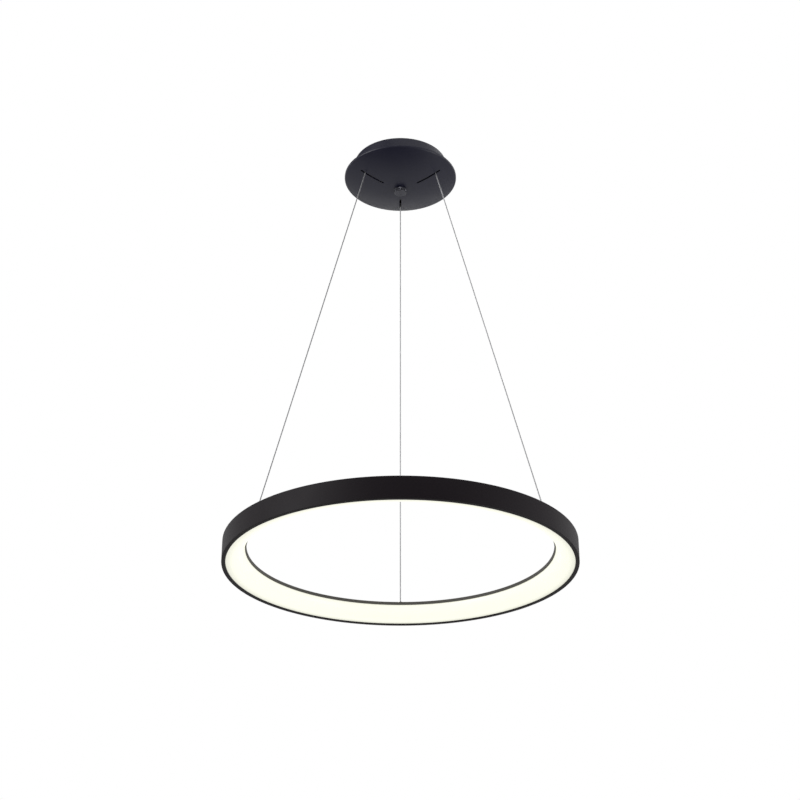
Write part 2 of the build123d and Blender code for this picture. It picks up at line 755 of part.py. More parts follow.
slot_cut = Pos((SLOT_IN_R + SLOT_OUT_R) / 2, 0, apex) * extrude(slot_blank, -apex)
for azimuth in WIRE_AZIMUTHS_DEG:
    cover -= Rot(0, 0, azimuth) * slot_cut
save("canopy_cover", cover)

# Thumb nut with a recess for its washer
recess_low = nut_top - WASHER_T - FIT
save("cover_washer", tube(WASHER_R, STUD_R + RUN, recess_low, recess_low + WASHER_T))
cover_nut = turned(
    [
        (0, nut_low),
        (NUT_R - NUT_CHAMFER, nut_low),
        (NUT_R, nut_low + NUT_CHAMFER),
        (NUT_R, nut_top - NUT_CHAMFER),
        (NUT_R - NUT_CHAMFER, nut_top),
        (WASHER_R + RUN, nut_top),
        (WASHER_R + RUN, recess_low),
        (STUD_R + RUN, recess_low),
        (STUD_R + RUN, bore_end),
        (0, bore_end),
    ]
)
save("cover_nut", cover_nut)

up = wire_frame(WIRE_AZIMUTHS_DEG[0]).z_dir
whole_wire = wire_len + tail_top + FERRULE_WIRE_PAST
print("wire length", round(whole_wire, 2), "from dome to ferrule", round(wire_len, 2))
print("wire lean", round(math.degrees(math.asin(lean_sin)), 3), "upward", [round(v, 5) for v in up])
print("dome at exit", round(dome(WIRE_EXIT_R), 3), "tip", [round(v, 3) for v in along_wire(tip_at)])
print("ferrule", round(anchor_r, 3), round(ferrule_z, 3), "tail", [round(v, 3) for v in along_wire(tail_top)])
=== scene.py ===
# %% [markdown]
# # A ring pendant lamp, dressed for its picture
# The lamp is a shallow canopy on the ceiling, three thin steel wires and a wide ring that glows
# inwards and downwards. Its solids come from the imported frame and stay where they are. This lesson
# puts fine surfaces over the ones that are seen most, and gives every piece its finish.

# %% Load the frame
import json
import math

import bmesh
import bpy
import numpy as np
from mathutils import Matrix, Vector


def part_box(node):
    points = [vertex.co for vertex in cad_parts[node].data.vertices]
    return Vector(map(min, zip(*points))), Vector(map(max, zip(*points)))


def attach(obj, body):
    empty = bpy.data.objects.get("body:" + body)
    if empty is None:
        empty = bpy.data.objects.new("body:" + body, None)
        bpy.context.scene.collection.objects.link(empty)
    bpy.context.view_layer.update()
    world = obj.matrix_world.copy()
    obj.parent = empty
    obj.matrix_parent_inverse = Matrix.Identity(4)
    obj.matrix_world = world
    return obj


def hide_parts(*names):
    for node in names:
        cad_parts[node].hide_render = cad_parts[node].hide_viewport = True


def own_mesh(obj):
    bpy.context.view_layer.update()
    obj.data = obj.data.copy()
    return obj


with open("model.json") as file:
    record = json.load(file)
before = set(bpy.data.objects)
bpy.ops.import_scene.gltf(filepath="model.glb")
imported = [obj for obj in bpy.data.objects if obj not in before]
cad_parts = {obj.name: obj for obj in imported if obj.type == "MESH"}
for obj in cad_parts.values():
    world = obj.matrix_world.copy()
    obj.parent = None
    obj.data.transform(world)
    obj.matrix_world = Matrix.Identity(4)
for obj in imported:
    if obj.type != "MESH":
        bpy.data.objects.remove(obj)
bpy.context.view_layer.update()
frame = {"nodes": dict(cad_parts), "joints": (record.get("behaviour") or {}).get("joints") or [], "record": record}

# %% [markdown]
# ## The camera
# The lamp hangs from a ceiling and is seen from below, so the camera stands lower than the ring and
# looks up. The ceiling is at height zero. The lens and the tilt were worked out from the ellipses of
# the ring and of the canopy's rim, which fix them once the ring's width is known.

# %% Camera
LENS_MM = 69.117
SENSOR_MM = 36.0
CAMERA_SIDE = -0.00072
CAMERA_BACK = 2.35109
CAMERA_DROP = 1.68065
CAMERA_TILT = math.radians(26.881)
FAR_LIMIT = 50.0

camera_data = bpy.data.cameras.new("camera")
camera_data.lens = LENS_MM
camera_data.sensor_width = SENSOR_MM
camera_data.clip_end = FAR_LIMIT
camera = bpy.data.objects.new("camera", camera_data)
camera.location = (CAMERA_SIDE, -CAMERA_BACK, -CAMERA_DROP)
camera.rotation_euler = (math.pi / 2 + CAMERA_TILT, 0.0, 0.0)
bpy.context.scene.collection.objects.link(camera)
bpy.context.scene.camera = camera
print("camera at", [round(v, 3) for v in camera.location])

# %% [markdown]
# ## Surfaces from grids
# A turned ring, a strand of rope and the wire of a spring have one thing in common: each is a grid of
# points, where one direction goes along the piece and the other goes round it. Two small helpers do
# the work for all of them. One numbers the four corners of each little face. The other makes the mesh,
# joins points that fall together and keeps real corners crisp.

# %% Mesh helpers
JOIN = 1e-7
CRISP = math.radians(32)


def unit(vectors):
    """Vectors of length one: each row divided by its own length."""
    return vectors / np.linalg.norm(vectors, axis=-1, keepdims=True)


def grid_quads(rows, columns, wrap_rows=False, wrap_columns=False):
    """Corner numbers of a grid's faces; the point in row i and column j has the number i * columns + j."""
    i = np.arange(rows if wrap_rows else rows - 1)
    j = np.arange(columns if wrap_columns else columns - 1)
    i, j = np.meshgrid(i, j, indexing="ij")
    below, beside = (i + 1) % rows, (j + 1) % columns
    corners = [i * columns + j, i * columns + beside, below * columns + beside, below * columns + j]
    return np.stack(corners, axis=-1).reshape(-1, 4)


def make_piece(name, points, faces, body, slot, *replaced):
    """A mesh object at the origin that rides with one body of the frame and stands for the solids named last.
    Its faces are a list of arrays, with the corner numbers of one face in each row."""
    mesh = bpy.data.meshes.new(name)
    mesh.from_pydata(points.tolist(), [], [row for rows in faces for row in rows.tolist()])
    joined = bmesh.new()
    joined.from_mesh(mesh)
    bmesh.ops.remove_doubles(joined, verts=joined.verts, dist=JOIN)
    joined.to_mesh(mesh)
    joined.free()
    mesh.polygons.foreach_set("use_smooth", np.ones(len(mesh.polygons), dtype=bool))
    mesh.set_sharp_from_angle(angle=CRISP)
    mesh.update()
    piece = bpy.data.objects.new(name, mesh)
    bpy.context.scene.collection.objects.link(piece)
    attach(piece, body)
    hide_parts(*replaced)
    print(name, "faces:", len(mesh.polygons))
    return piece


# %% [markdown]
# ## A round wire along a line
# Rope strands and springs are both drawn as round wire. The wire's middle line is given as points, and
# a small circle is set square to the line at each of them. Flat ends close the tube. A rope is several
# such tubes in one mesh, so one more helper puts parts together.

# %% Round wire
def round_wire(line, radius, aside, sides):
    """Tube: the point at step s and angle a is line(s) + radius (cos a N + sin a B), with N square to the
    line and to the vector aside, and B square to both."""
    along = unit(np.gradient(line, axis=0))
    normal = unit(np.cross(along, aside))
    other = np.cross(along, normal)
    angle = np.linspace(0, 2 * np.pi, sides, endpoint=False)[None, :, None]
    points = line[:, None] + radius * (np.cos(angle) * normal[:, None] + np.sin(angle) * other[:, None])
    first_end = np.arange(sides)[::-1]
    last_end = np.arange(sides) + (len(line) - 1) * sides
    faces = [grid_quads(len(line), sides, wrap_columns=True), np.stack([first_end, last_end])]
    return points.reshape(-1, 3), faces


def put_together(parts):
    """The points and faces of several parts as one: a part's corner numbers go up by the count of all points
    before its own."""
    starts = np.cumsum([0] + [len(points) for points, faces in parts])
    faces = [rows + start for (points, faces), start in zip(parts, starts) for rows in faces]
    return np.concatenate([points for points, faces in parts]), faces


# %% [markdown]
# ## The suspension wires
# Each wire is a strand of nineteen thin steel wires. Twelve of them show: they are laid round the others
# in a long screw. A suspension wire starts above its gripper in the canopy, comes out through a slot in
# the cover and ends in a crimped ferrule in the ring. The ring's weight pulls it straight. When the lamp
# is hung higher the wire runs up into the canopy; here it is drawn at one length.

# %% Wire routes
WIRE_D = 0.002
WIRE_AZIMUTHS = np.radians([90, 210, 330])
GRIP_MOUTH = 0.0265
CRIMPED = 0.002
CLEAR = 6 * WIRE_D

low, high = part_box("suspension_wire_1")
lean = math.atan2(high.y - low.y, high.z - low.z)
tail_r = low.y + WIRE_D / 2 * math.cos(lean)
tail_z = high.z - WIRE_D / 2 * math.sin(lean)
end_r = high.y - WIRE_D / 2 * math.cos(lean)
end_z = low.z + WIRE_D / 2 * math.sin(lean)
wire_length = math.hypot(end_r - tail_r, tail_z - end_z)
outward = np.stack([np.cos(WIRE_AZIMUTHS), np.sin(WIRE_AZIMUTHS), 0 * WIRE_AZIMUTHS], axis=1)
sideways = np.stack([-np.sin(WIRE_AZIMUTHS), np.cos(WIRE_AZIMUTHS), 0 * WIRE_AZIMUTHS], axis=1)
downward = unit(outward * (end_r - tail_r) + np.array([0, 0, end_z - tail_z]))
tails = outward * tail_r + np.array([0, 0, tail_z])
print("wire:", round(wire_length, 4), "m, leaning", round(math.degrees(lean), 2), "degrees")


def route(tail, along):
    """Points of a wire's line, read from a spline with four control points: its tail, one clear of the
    gripper, one clear of the ferrule, and its end."""
    depth = np.array([[0.0], [GRIP_MOUTH + CLEAR], [wire_length - CRIMPED - CLEAR], [wire_length]])
    places = np.hstack([tail + depth * along, np.ones_like(depth)])
    curve = bpy.data.curves.new("route", "CURVE")
    curve.dimensions = "3D"
    spline = curve.splines.new("NURBS")
    spline.points.add(len(places) - 1)
    spline.points.foreach_set("co", places.ravel())
    spline.order_u = 3
    spline.use_endpoint_u = True
    holder = bpy.data.objects.new("route", curve)
    mesh = bpy.data.meshes.new_from_object(holder)
    points = np.empty(len(mesh.vertices) * 3)
    mesh.vertices.foreach_get("co", points)
    bpy.data.objects.remove(holder)
    bpy.data.meshes.remove(mesh)
    return points.reshape(-1, 3)


# %% Wire ropes
LAY = 0.02
STEPS_PER_LAY = 15
STRANDS = 12
STRAND_SIDES = 6
PULL_POINT = 0.0305

joints = {joint["name"]: joint for joint in frame["joints"]}
rise = joints["height_adjust"]["range_m"][1]
print("the ring can be raised by", rise, "m")


def rope(line, aside):
    """Strand k of a rope of width d has its middle at line(s) + 2d/5 (cos t U + sin t V), with U and V square
    to the line and t = 2 pi (s / lay + k / 12). A strand's radius is d/10, and that of the core is 3d/10."""
    length = np.concatenate([[0], np.cumsum(np.linalg.norm(np.diff(line, axis=0), axis=1))])
    steps = np.linspace(0, length[-1], int(length[-1] / LAY * STEPS_PER_LAY) + 1)
    core = np.stack([np.interp(steps, length, line[:, axis]) for axis in range(3)], axis=1)
    along = unit(np.gradient(core, axis=0))
    first = unit(np.cross(along, aside))
    second = np.cross(along, first)
    turn = 2 * np.pi * (steps / LAY + np.arange(STRANDS)[:, None] / STRANDS)[..., None]
    strands = core + WIRE_D * 2 / 5 * (np.cos(turn) * first + np.sin(turn) * second)
    tubes = [round_wire(middle, WIRE_D / 10, aside, STRAND_SIDES) for middle in strands]
    return put_together([round_wire(core, WIRE_D * 3 / 10, aside, STRANDS), *tubes])


wires = []
for k in range(len(WIRE_AZIMUTHS)):
    line = route(tails[k], downward[k])
    shape = rope(line, sideways[k])
    wire = make_piece(f"wire_rope_{k + 1}", *shape, "canopy", "wire_steel", f"suspension_wire_{k + 1}")
    pull = tails[k] + downward[k] * PULL_POINT
    held = pull[2] - (tail_z + downward[k][2] * (wire_length - CRIMPED))
    (held - rise) / held
    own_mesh(wire)
    mouth = tails[k] + downward[k] * GRIP_MOUTH
    wires.append(wire)

# %% [markdown]
# ## The gripper springs
# Inside each gripper a small spring keeps the plunger down, so that its balls bite on the wire. Pushing
# the plunger up lets the wire run. The spring is round wire wound in a screw, with its end turns lying
# closer than the middle ones. In the gripper it shortens as the plunger goes up; here it is drawn at one length.

# %% Springs
SPRING_LOW = 0.0225
SPRING_HIGH = 0.0146
SPRING_R = 0.0029
SPRING_WIRE_R = 0.0003
SPRING_TURNS = 6
SPRING_STEPS = 240
SPRING_SIDES = 10
END_CROWDING = 0.6

spring_length = SPRING_LOW - SPRING_HIGH


def coil(tail, along, aside):
    """Middle line of a spring: at the share s of its wire it has turned by 2 pi n s and has climbed by the
    share s - c sin(2 pi s) / (2 pi) of its length, with c for how closely the end turns lie."""
    share = np.linspace(0, 1, SPRING_STEPS)[:, None]
    climb = share - END_CROWDING * np.sin(2 * np.pi * share) / (2 * np.pi)
    turn = 2 * np.pi * SPRING_TURNS * share
    depth = SPRING_LOW - SPRING_WIRE_R - climb * (spring_length - 2 * SPRING_WIRE_R)
    spoke = np.cos(turn) * aside + np.sin(turn) * np.cross(along, aside)
    return tail + along * depth + SPRING_R * spoke


springs = []
for k in range(len(WIRE_AZIMUTHS)):
    line = coil(tails[k], downward[k], sideways[k])
    shape = round_wire(line, SPRING_WIRE_R, downward[k], SPRING_SIDES)
    spring = make_piece(f"coil_spring_{k + 1}", *shape, "canopy", "spring_steel", f"gripper_spring_{k + 1}")
    top = tails[k] + downward[k] * SPRING_HIGH
    tuple(-downward[k])
    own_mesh(spring)
    springs.append(spring)

# %% [markdown]
# ## Outlines with rounded corners
# The ring's housing is an aluminium section bent into a hoop, and the diffuser is moulded opal plastic.
# Both are turned shapes: one outline, carried round the lamp's middle. Real edges are never quite sharp,
# so the outline is drawn from its corners, and each corner may have a small arc.

# %% Turned surfaces
ARC_POINTS = 13
TURN_STEPS = 480


def rounded(*corners):
    """Closed outline from rows of r, z and radius: an arc touches both sides of its corner, with its middle
    on the corner's bisector at radius / sin(half the corner's angle)."""
    table = np.array(corners)
    place, radius = table[:, :2], table[:, 2:]
    back = unit(np.roll(place, 1, axis=0) - place)
    ahead = unit(np.roll(place, -1, axis=0) - place)
    half = np.arccos((back * ahead).sum(axis=1, keepdims=True)) / 2
    middle = place + unit(back + ahead) * radius / np.sin(half)
    spoke = place + back * radius / np.tan(half) - middle
    bend = np.sign(ahead[:, :1] * back[:, 1:] - ahead[:, 1:] * back[:, :1]) * (np.pi - 2 * half)
    angle = bend * np.linspace(0, 1, ARC_POINTS)
    r = middle[:, :1] + spoke[:, :1] * np.cos(angle) - spoke[:, 1:] * np.sin(angle)
    z = middle[:, 1:] + spoke[:, :1] * np.sin(angle) + spoke[:, 1:] * np.cos(angle)
    outline = np.stack([r, z], axis=-1).reshape(-1, 2)
    return outline[np.linalg.norm(outline - np.roll(outline, 1, axis=0), axis=1) > JOIN]


def turned(outline, relief=None, steps=TURN_STEPS):
    """Surface of revolution: the outline's point (r, z) goes to (q cos a, q sin a, z) for every angle a, with
    q = r less what a relief takes off there."""
    angle = np.linspace(0, 2 * np.pi, steps, endpoint=False)
    r, z = outline[:, :1], outline[:, 1:]
    q = r - relief(r, z, angle) if relief else r
    points = np.stack([q * np.cos(angle), q * np.sin(angle), z + 0 * angle], axis=-1)
    return points.reshape(-1, 3), [grid_quads(len(outline), steps, wrap_rows=True, wrap_columns=True)]


# %% [markdown]
# ## The ring's housing
# The black housing has a tall outer wall, a flat web across the top and a small lip that turns down at
# the inside. Under the wall a narrow flange comes in and carries the diffuser. The wall stands a little
# proud of the web, which leaves a shallow tray on top of the ring.

# %% Ring housing
WALL = 0.002
TRAY = 0.0048
WEB = 0.0025
RING_WIDTH = 0.03935
LIP = 0.0052
LIP_T = 0.00235
FLANGE = 0.0066
FLANGE_T = 0.002
SOFT = 0.0004
FLANGE_SOFT = 0.0002

ring_low, ring_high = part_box("ring_housing")
ring_r = ring_high.x
lip_r = ring_r - RING_WIDTH
web_top = ring_high.z - TRAY
housing = rounded(
    (ring_r - FLANGE, ring_low.z, FLANGE_SOFT),
    (ring_r, ring_low.z, SOFT),
    (ring_r, ring_high.z, SOFT),
    (ring_r - WALL, ring_high.z, SOFT),
    (ring_r - WALL, web_top, 0.0),
    (lip_r, web_top, SOFT),
    (lip_r, web_top - LIP, SOFT),
    (lip_r + LIP_T, web_top - LIP, SOFT),
    (lip_r + LIP_T, web_top - WEB, 0.0),
    (ring_r - WALL, web_top - WEB, 0.0),
    (ring_r - WALL, ring_low.z + FLANGE_T, 0.0),
    (ring_r - FLANGE, ring_low.z + FLANGE_T, FLANGE_SOFT),
)
ring = make_piece("ring_shell", *turned(housing), "ring", "ring_black", "ring_housing")

# %% [markdown]
# ## The diffuser
# The opal diffuser closes the ring's channel. Its floor lies on the flange, a little above the ring's
# lower edge. At the inside it sweeps up in a quarter round and ends behind the housing's lip, so the
# light goes both down and into the ring's middle.

# %% Diffuser
OPAL_T = 0.002
SWEEP_R = 0.0235
OPAL_FIT = 0.0001
OPAL_SOFT = 0.0002

opal_low, opal_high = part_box("diffuser")
face_r = lip_r + LIP_T + OPAL_FIT
flat_high = opal_low.z + OPAL_T
opal = rounded(
    (face_r, opal_low.z, SWEEP_R),
    (opal_high.x, opal_low.z, 0.0),
    (opal_high.x, flat_high, OPAL_SOFT),
    (face_r + OPAL_T, flat_high, SWEEP_R - OPAL_T),
    (face_r + OPAL_T, opal_high.z, OPAL_SOFT),
    (face_r, opal_high.z, OPAL_SOFT),
)
diffuser = make_piece("opal_sweep", *turned(opal), "ring", "opal", "diffuser")

# %% [markdown]
# ## The canopy's cover
# The cover is a shallow dish pressed from steel sheet. Three slots with round ends run outwards from its
# middle, so it can slide down along the leaning wires. A turned surface has no slots, so the dish is
# drawn as three equal sectors. Each sector's two sides step back by half a slot where the slot is, and
# meet the next sector's where it isn't. First comes the outline, with more rows at the slots' ends.

# %% Dish outline
SHEET = 0.0012
BAND = 0.004
RIM_SOFT = 0.003
HOLE_R = 0.0033
SLOT_IN = 0.035
SLOT_OUT = 0.0835
SLOT_HALF = 0.0017
HUB_ROWS = 14
END_ROWS = 8
SLOT_ROWS = 24
EDGE_ROWS = 10
RIM_ROWS = 9

cover_low, cover_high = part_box("canopy_cover")
cover_r = cover_high.x
band_low = cover_high.z - BAND
dome_z = (cover_r**2 + band_low**2 - HOLE_R**2 - cover_low.z**2) / (2 * (band_low - cover_low.z))
dome_r = math.hypot(cover_r, band_low - dome_z)
quarter = 1 - np.cos(np.linspace(0, np.pi / 2, END_ROWS))
radii = np.concatenate([
    np.linspace(HOLE_R, SLOT_IN, HUB_ROWS)[:-1],
    SLOT_IN + SLOT_HALF * quarter,
    np.linspace(SLOT_IN + SLOT_HALF, SLOT_OUT - SLOT_HALF, SLOT_ROWS)[1:-1],
    SLOT_OUT - SLOT_HALF * quarter[::-1],
    np.linspace(SLOT_OUT, cover_r - 2 * SHEET, EDGE_ROWS)[1:],
])
under = np.stack([radii, dome_z - np.sqrt(dome_r**2 - radii**2)], axis=1)
over = np.stack([radii, dome_z - np.sqrt((dome_r - SHEET) ** 2 - radii**2)], axis=1)[::-1]
rim_z = dome_z - math.sqrt((dome_r - RIM_SOFT) ** 2 - (cover_r - RIM_SOFT) ** 2)
bend = np.linspace(math.atan2(rim_z - dome_z, cover_r - RIM_SOFT), 0, RIM_ROWS)
rim = np.stack([cover_r - RIM_SOFT + RIM_SOFT * np.cos(bend), rim_z + RIM_SOFT * np.sin(bend)], axis=1)
inside_r = cover_r - SHEET
inside_z = dome_z - math.sqrt((dome_r - SHEET) ** 2 - inside_r**2)
band = np.array([[cover_r, cover_high.z], [inside_r, cover_high.z], [inside_r, inside_z]])
dish = np.concatenate([under, rim, band, over])
print("dish radius", round(dome_r, 4), "rows", len(dish))

# %% Dish sectors
SECTOR_STEPS = 81

past = np.abs(radii - (SLOT_IN + SLOT_OUT) / 2) - (SLOT_OUT - SLOT_IN) / 2 + SLOT_HALF
half_width = np.sqrt(np.maximum(SLOT_HALF**2 - np.maximum(past, 0) ** 2, 0))


def sector(azimuth):
    """One third of the dish: the point in row r and share v is at the angle azimuth + w + v (120 degrees -
    2 w), with w = asin(half the slot's width / r). Strips between the two skins line the slots."""
    widths = np.concatenate([half_width, np.zeros(len(rim) + len(band)), half_width[::-1]])
    step = np.arcsin(widths / dish[:, 0])[:, None]
    angle = azimuth + step + np.linspace(0, 1, SECTOR_STEPS) * (2 * np.pi / 3 - 2 * step)
    r, z = dish[:, :1], dish[:, 1:]
    points = np.stack([r * np.cos(angle), r * np.sin(angle), z + 0 * angle], axis=-1).reshape(-1, 3)
    first = np.flatnonzero((half_width[:-1] > 0) | (half_width[1:] > 0))
    outer, inner = first * SECTOR_STEPS, (len(dish) - 1 - first) * SECTOR_STEPS
    wall = np.stack([outer, outer + SECTOR_STEPS, inner - SECTOR_STEPS, inner], axis=1)
    skins = grid_quads(len(dish), SECTOR_STEPS, wrap_rows=True)
    return points, [skins, wall, wall[:, ::-1] + SECTOR_STEPS - 1]


shape = put_together([sector(azimuth) for azimuth in WIRE_AZIMUTHS])
cover = make_piece("cover_dish", *shape, "cover", "canopy_black", "canopy_cover")

# %% [markdown]
# ## The thumb nut
# A round nut in the middle of the dish is turned by hand and holds the cover up on its stud. It is turned
# from bar, with a small chamfer on both rims, a blind hole for the stud and a recess for its washer. Two
# sets of crossing grooves are rolled into its side, which leaves small pyramids for the fingers to grip.

# %% Nut outline
NUT_CHAMFER = 0.0008
NUT_SOFT = 0.0002
RECESS_R = 0.0083
RECESS = 0.001
BORE_R = 0.0033
NUT_FLOOR = 0.0022

nut_low, nut_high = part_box("cover_nut")
nut_r = nut_high.x
side_low, side_high = nut_low.z + NUT_CHAMFER, nut_high.z - NUT_CHAMFER
corners = rounded(
    (0.0, nut_low.z, 0.0),
    (nut_r - NUT_CHAMFER, nut_low.z, NUT_SOFT),
    (nut_r, side_low, 0.0),
    (nut_r, side_high, 0.0),
    (nut_r - NUT_CHAMFER, nut_high.z, NUT_SOFT),
    (RECESS_R, nut_high.z, 0.0),
    (RECESS_R, nut_high.z - RECESS, 0.0),
    (BORE_R, nut_high.z - RECESS, 0.0),
    (BORE_R, nut_low.z + NUT_FLOOR, 0.0),
    (0.0, nut_low.z + NUT_FLOOR, 0.0),
)
print("nut:", round(2 * nut_r, 4), "m wide,", round(nut_high.z - nut_low.z, 4), "m tall")

# %% Knurled nut
KNURLS = 54
KNURL_ROWS = 5
KNURL_DEPTH = 0.0003
KNURL_STEPS = 12

side_z = np.linspace(side_low, side_high, KNURL_ROWS * KNURL_STEPS + 1)[1:-1]
side_start = np.argmax(corners[:, 0]) + 1
nut_outline = np.insert(corners, side_start, np.stack([0 * side_z + nut_r, side_z], axis=1), axis=0)


def knurl(r, z, angle):
    """Depth under the crests at height z and angle a: d (1 - min(|sin(p + q)|, |sin(p - q)|)), with p = a
    times half the count round the nut and q = pi times the count of rows, over the side alone."""
    climb = np.pi * KNURL_ROWS * (z - side_low) / (side_high - side_low)
    across = KNURLS / 2 * angle
    crest = np.minimum(np.abs(np.sin(across + climb)), np.abs(np.sin(across - climb)))
    return KNURL_DEPTH * (1 - crest) * ((r > nut_r - JOIN) & (z > side_low + JOIN) & (z < side_high - JOIN))


shape = turned(nut_outline, knurl, KNURLS * KNURL_STEPS)
nut = make_piece("thumb_nut", *shape, "nut", "black_nickel", "cover_nut")

# %% [markdown]
# ## Finishes as arithmetic
# A finish is a small network of nodes. To keep it readable, one class stands for a value in the network
# and lets plain arithmetic add the maths nodes. Another class holds the network and has one method that
# adds any other node. Positions are the pieces' own coordinates in metres, so a grain of 0.001 is a
# millimetre.

# %% A value in a network
class Value:
    """The output of a node, with arithmetic: each sign adds a maths node."""

    def __init__(self, finish, socket):
        self.finish = finish
        self.socket = socket

    def __add__(self, other):
        return self.finish.maths("ADD", self, other)

    def __sub__(self, other):
        return self.finish.maths("SUBTRACT", self, other)

    def __rsub__(self, other):
        return self.finish.maths("SUBTRACT", other, self)

    def __mul__(self, other):
        return self.finish.maths("MULTIPLY", self, other)

    def __truediv__(self, other):
        return self.finish.maths("DIVIDE", self, other)

    def __rtruediv__(self, other):
        return self.finish.maths("DIVIDE", other, self)

    def __gt__(self, other):
        return self.finish.maths("GREATER_THAN", self, other)

    def __lt__(self, other):
        return self.finish.maths("LESS_THAN", self, other)

    __radd__ = __add__
    __rmul__ = __mul__


# %% A network
MIX_SHARE = 0
MIX_FIRST = 6
MIX_SECOND = 7
MIX_COLOUR = 2


class Finish:
    """The nodes of a material or of the world."""

    def __init__(self, owner):
        owner.use_nodes = True
        self.owner = owner
        self.tree = owner.node_tree
        self.tree.nodes.clear()

    def node(self, kind, settings=None, sockets=None, out=0):
        """A new node: its settings, then the numbers or links of its sockets; gives one of its outputs."""
        made = self.tree.nodes.new(kind)
        for name, setting in (settings or {}).items():
            setattr(made, name, setting)
        for key, value in (sockets or {}).items():
            if isinstance(value, Value):
                self.tree.links.new(value.socket, made.inputs[key])
            else:
                made.inputs[key].default_value = value
        return Value(self, made.outputs[out]) if made.outputs else None

    def maths(self, operation, first, second=0.0):
        """A maths node by its operation's name."""
        return self.node("ShaderNodeMath", {"operation": operation}, {0: first, 1: second})

    def place(self, stretch=(1.0, 1.0, 1.0)):
        """The piece's own coordinates, each times its stretch."""
        spot = self.node("ShaderNodeTexCoord", out="Object")
        return self.node("ShaderNodeMapping", sockets={"Vector": spot, "Scale": stretch})

    def axes(self):
        """x, y and z as three values."""
        first = self.node("ShaderNodeSeparateXYZ", sockets={0: self.place()})
        return [Value(self, socket) for socket in first.socket.node.outputs]

    def radius(self):
        """Distance from the lamp's middle line: the root of x x + y y."""
        x, y, z = self.axes()
        return self.maths("SQRT", x * x + y * y)

    def noise(self, grain, detail=2.0, stretch=(1.0, 1.0, 1.0)):
        """Soft spots from 0 to 1, about as far apart as the grain."""
        sockets = {"Vector": self.place(stretch), "Scale": 1 / grain, "Detail": detail}
        return self.node("ShaderNodeTexNoise", sockets=sockets)

    def vary(self, middle, spread, pattern):
        """A number that follows a pattern, by half the spread to either side of its middle."""
        return middle + spread * (pattern - 0.5)

    def ramp(self, value, start, end):
        """A smooth step from 0 at the start to 1 at the end."""
        sockets = {"Value": value, "From Min": start, "From Max": end}
        return self.node("ShaderNodeMapRange", {"clamp": True, "interpolation_type": "SMOOTHSTEP"}, sockets)

    def mix(self, share, first, second):
        """The first colour where the share is 0 and the second where it is 1."""
        sockets = {MIX_SHARE: share, MIX_FIRST: first, MIX_SECOND: second}
        return self.node("ShaderNodeMix", {"data_type": "RGBA"}, sockets, out=MIX_COLOUR)

    def bump(self, height, depth):
        """A surface that seems to rise by the depth where the height is 1."""
        return self.node("ShaderNodeBump", sockets={"Strength": 1.0, "Distance": depth, "Height": height})

    def surface(self, sockets):
        """The finished material, with these sockets of its shader set or linked."""
        look = self.node("ShaderNodeBsdfPrincipled", sockets=sockets)
        self.node("ShaderNodeOutputMaterial", sockets={"Surface": look})
        return self.owner


# %% Colours
def paint(red, green, blue):
    """Linear colour of a colour card's red, green and blue from 0 to 255: a share c of 255 is c / 12.92 up to
    0.04045, and above it the power 2.4 of (c + 0.055) / 1.055."""
    card = np.array([red, green, blue]) / 255
    linear = np.where(card <= 0.04045, card / 12.92, ((card + 0.055) / 1.055) ** 2.4)
    return (*linear.tolist(), 1.0)


def new_finish(name):
    """An empty network in a new material."""
    return Finish(bpy.data.materials.new(name))


finishes = {}
print("middle grey:", [round(v, 3) for v in paint(128, 128, 128)])

# %% [markdown]
# ## Powder coat
# Canopy and ring are black powder coat. The powder melts into a skin with a very fine orange peel, and
# the skin's sheen changes a little from place to place. The canopy's black is cooler than the ring's. On
# the ring's thin inner lip the coat is painted a lighter grey: painted light, for the diffuser's glow on it.

# %% Powder coats
CLOUD = 0.06
PEEL = 0.0009
PEEL_DEPTH = 0.00003
COAT_SPREAD = 0.1


def powder_coat(name, dark, light, roughness, shine, lip_painted_light=None):
    """Black between a dark and a light one, with a lighter colour painted on the ring's lip as painted light from
    the diffuser's glow, if it is given.
    """
    finish = new_finish(name)
    cloud = finish.noise(CLOUD)
    colour = finish.mix(cloud, dark, light)
    if lip_painted_light:
        # Painted light: a lighter grey on the ring's lip, standing in for the diffuser's glow that falls on it.
        colour = finish.mix(finish.radius() < lip_r + LIP_T, colour, lip_painted_light)
    finishes[name] = finish.surface({
        "Base Color": colour,
        "Roughness": finish.vary(roughness, COAT_SPREAD, cloud),
        "Specular IOR Level": shine,
        "Normal": finish.bump(finish.noise(PEEL), PEEL_DEPTH),
    })


powder_coat("canopy_black", paint(21, 21, 38), paint(26, 26, 44), roughness=0.4, shine=0.38)
# The ring's lip colour is painted light from the diffuser, not a different coat.
powder_coat("ring_black", paint(16, 10, 15), paint(20, 13, 19), roughness=0.55, shine=0.15,
            lip_painted_light=paint(80, 78, 74))
print("coats:", list(finishes))

# %% [markdown]
# ## Opal plastic
# The diffuser is milky plastic lit from behind. It looks evenly bright and a little warm, so it glows by
# itself. Towards the flange the glow is turned down as painted shade where the flange's step meets it, and
# this painted shade grows with the distance from the lamp's middle.

# %% Opal
FLANGE_SHADE_WIDTH = 0.014
MILK = 0.03
GLOW = (0.70, 0.70, 0.60, 1.0)
GLOW_IN_FLANGE_SHADE = (0.55, 0.55, 0.475, 1.0)

finish = new_finish("opal")
flange_r = ring_r - FLANGE
